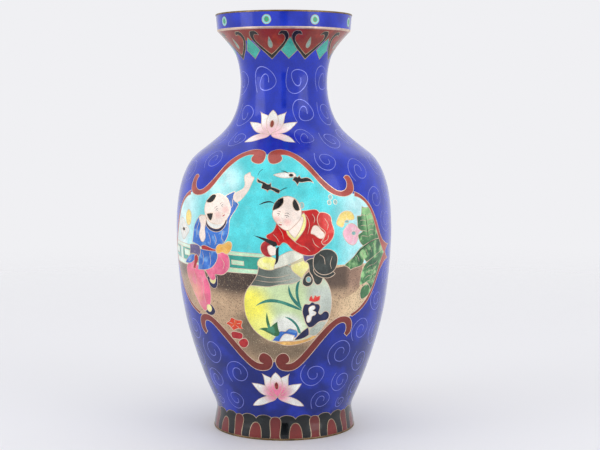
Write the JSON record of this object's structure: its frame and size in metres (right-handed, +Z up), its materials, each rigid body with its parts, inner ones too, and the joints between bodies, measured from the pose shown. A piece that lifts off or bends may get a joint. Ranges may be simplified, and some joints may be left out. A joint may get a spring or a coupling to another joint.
{
  "type": "cloisonne vase",
  "caption": "Baluster vase with a narrow neck, flared mouth and upright collar: raised copper shells under wired enamel cells, with a framed picture on a scrolled blue ground.",
  "frame": {"origin": "centre of the circle that the foot stands on, on the vase's axis", "axes": "+Z up the axis from the foot to the lip, -Y out of the middle of the front picture, +X to the right as seen from the front"},
  "size_m": [0.1984, 0.1984, 0.38],
  "materials": {
    "gilt": "gilt and polished",
    "copper": "bare raised copper",
    "base_enamel": "fired enamel, ground and polished",
    "black": "fired enamel, ground and polished",
    "bright_red": "fired enamel, ground and polished",
    "charcoal": "fired enamel, ground and polished",
    "collar_blue": "fired enamel, ground and polished",
    "cream": "fired enamel, ground and polished",
    "crimson": "fired enamel, ground and polished",
    "diamonds": "fired enamel, ground and polished",
    "dot_cores": "fired enamel, ground and polished",
    "dot_rings": "fired enamel, ground and polished",
    "flower_pink": "fired enamel, ground and polished",
    "flower_yellow": "fired enamel, ground and polished",
    "foot_arches": "fired enamel, ground and polished",
    "foot_black": "fired enamel, ground and polished",
    "foot_strips": "fired enamel, ground and polished",
    "frame_bands": "fired enamel, ground and polished",
    "ground_blue": "fired enamel, ground and polished",
    "jade": "fired enamel, ground and polished",
    "jar_body": "fired enamel, ground and polished",
    "jar_leaves": "fired enamel, ground and polished",
    "jar_mouth": "fired enamel, ground and polished",
    "jar_shoulder": "fired enamel, ground and polished",
    "lappet_black": "fired enamel, ground and polished",
    "lappet_drops": "fired enamel, ground and polished",
    "lappet_red": "fired enamel, ground and polished",
    "leaf": "fired enamel, ground and polished",
    "light_red": "fired enamel, ground and polished",
    "lining_enamel": "fired enamel, ground and polished",
    "lotus_petals": "fired enamel, ground and polished",
    "mid_blue": "fired enamel, ground and polished",
    "mound": "fired enamel, ground and polished",
    "navy": "fired enamel, ground and polished",
    "orange": "fired enamel, ground and polished",
    "orange_red": "fired enamel, ground and polished",
    "pink": "fired enamel, ground and polished",
    "purple": "fired enamel, ground and polished",
    "rail_pale": "fired enamel, ground and polished",
    "rail_teal": "fired enamel, ground and polished",
    "sand": "fired enamel, ground and polished",
    "skin": "fired enamel, ground and polished",
    "sky": "fired enamel, ground and polished",
    "solder": "silver solder",
    "white": "fired enamel, ground and polished"
  },
  "bodies": {
    "root": {"band_wires": "gilt", "base_disc": "copper", "base_enamel": "base_enamel", "black": "black", "bright_red": "bright_red", "charcoal": "charcoal", "collar_blue": "collar_blue", "cream": "cream", "crimson": "crimson", "diamonds": "diamonds", "dot_cores": "dot_cores", "dot_rings": "dot_rings", "edge_ring": "gilt", "flower_pink": "flower_pink", "flower_yellow": "flower_yellow", "foot_arches": "foot_arches", "foot_black": "foot_black", "foot_rim": "gilt", "foot_ring": "copper", "foot_strips": "foot_strips", "frame_bands": "frame_bands", "frame_wires": "gilt", "ground_blue": "ground_blue", "jade": "jade", "jar_body": "jar_body", "jar_leaves": "jar_leaves", "jar_mouth": "jar_mouth", "jar_shoulder": "jar_shoulder", "lappet_black": "lappet_black", "lappet_drops": "lappet_drops", "lappet_red": "lappet_red", "leaf": "leaf", "light_red": "light_red", "lining_enamel": "lining_enamel", "lip_rim": "gilt", "lotus_petals": "lotus_petals", "lotus_wires": "gilt", "lower_body": "copper", "mid_blue": "mid_blue", "mound": "mound", "mouth": "copper", "navy": "navy", "neck": "copper", "orange": "orange", "orange_red": "orange_red", "picture_wires": "gilt", "pink": "pink", "purple": "purple", "rail_pale": "rail_pale", "rail_teal": "rail_teal", "sand": "sand", "scroll_wires": "gilt", "skin": "skin", "sky": "sky", "solder_seams": "solder", "upper_body": "copper", "white": "white"}
  },
  "joints": []
}
